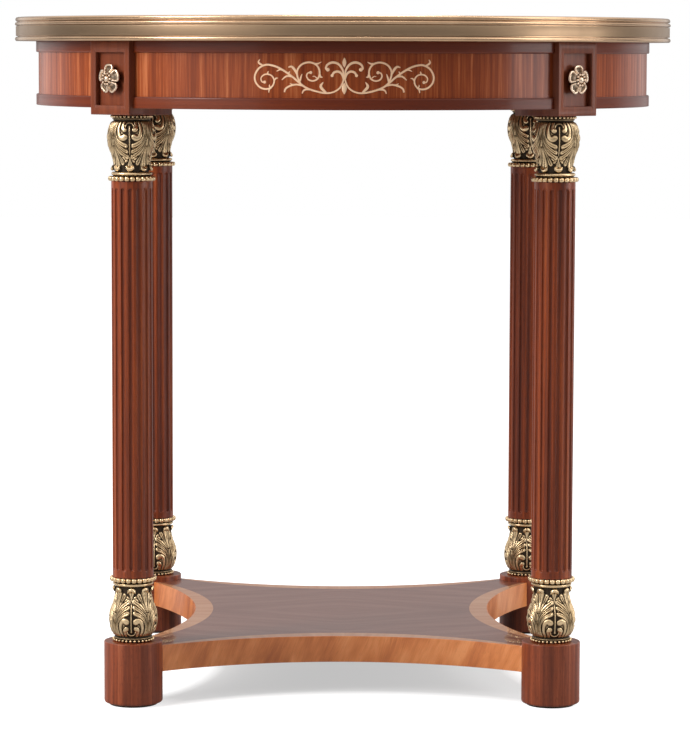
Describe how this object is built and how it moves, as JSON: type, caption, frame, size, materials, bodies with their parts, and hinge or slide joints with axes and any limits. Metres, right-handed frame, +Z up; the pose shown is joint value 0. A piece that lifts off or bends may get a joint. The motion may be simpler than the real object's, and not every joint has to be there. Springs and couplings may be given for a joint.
{
  "type": "side table",
  "caption": "Round mahogany side table with a brass-edged top, panelled apron, fluted columns between cast brass leaf mounts, and a hollow-sided shelf.",
  "frame": {"origin": "on the floor, under the middle of the round top", "axes": "+Z up; the apron side with the brass scroll faces -Y; legs stand on the diagonals"},
  "size_m": [0.66, 0.66, 0.662],
  "materials": {
    "mahogany": "semi-gloss lacquer",
    "ribbon_mahogany": "semi-gloss lacquer, upright striped figure",
    "flame_mahogany": "gloss lacquer, quarter-matched veneer",
    "crossband_veneer": "gloss lacquer",
    "edge_veneer": "gloss lacquer, upright grain",
    "edge_brass": "satin, aged",
    "cast_brass": "cast, polished on the high parts and dark in the hollows",
    "inlay_brass": "satin",
    "core_board": "plain, stained below",
    "beech": "plain",
    "steel": "zinc plated",
    "felt": "pressed felt"
  },
  "bodies": {
    "root": {"apron_dowels": "beech", "apron_panel_back": "ribbon_mahogany", "apron_panel_front": "ribbon_mahogany", "apron_panel_left": "ribbon_mahogany", "apron_panel_right": "ribbon_mahogany", "base_mount_front_left": "cast_brass", "base_mount_front_right": "cast_brass", "base_mount_rear_left": "cast_brass", "base_mount_rear_right": "cast_brass", "capital_front_left": "cast_brass", "capital_front_right": "cast_brass", "capital_rear_left": "cast_brass", "capital_rear_right": "cast_brass", "column_front_left": "mahogany", "column_front_right": "mahogany", "column_rear_left": "mahogany", "column_rear_right": "mahogany", "foot_front_left": "mahogany", "foot_front_right": "mahogany", "foot_pads": "felt", "foot_rear_left": "mahogany", "foot_rear_right": "mahogany", "front_inlay": "inlay_brass", "leg_post_front_left": "mahogany", "leg_post_front_right": "mahogany", "leg_post_rear_left": "mahogany", "leg_post_rear_right": "mahogany", "lower_rail_back": "mahogany", "lower_rail_front": "mahogany", "lower_rail_left": "mahogany", "lower_rail_right": "mahogany", "rosette_front_left": "cast_brass", "rosette_front_right": "cast_brass", "rosette_rear_left": "cast_brass", "rosette_rear_right": "cast_brass", "shelf_core": "core_board", "shelf_crossband_back": "crossband_veneer", "shelf_crossband_front": "crossband_veneer", "shelf_crossband_left": "crossband_veneer", "shelf_crossband_right": "crossband_veneer", "shelf_dowels": "beech", "shelf_edge_back": "edge_veneer", "shelf_edge_front": "edge_veneer", "shelf_edge_left": "edge_veneer", "shelf_edge_right": "edge_veneer", "shelf_quarter_veneers": "flame_mahogany", "tie_rod_nuts": "steel", "tie_rod_washers": "steel", "tie_rods": "steel", "top_core": "core_board", "top_crossband": "crossband_veneer", "top_edge_band": "edge_brass", "top_fixing_blocks": "beech", "top_quarter_veneers": "flame_mahogany", "top_screws": "steel", "upper_rail_back": "mahogany", "upper_rail_front": "mahogany", "upper_rail_left": "mahogany", "upper_rail_right": "mahogany"}
  },
  "joints": []
}
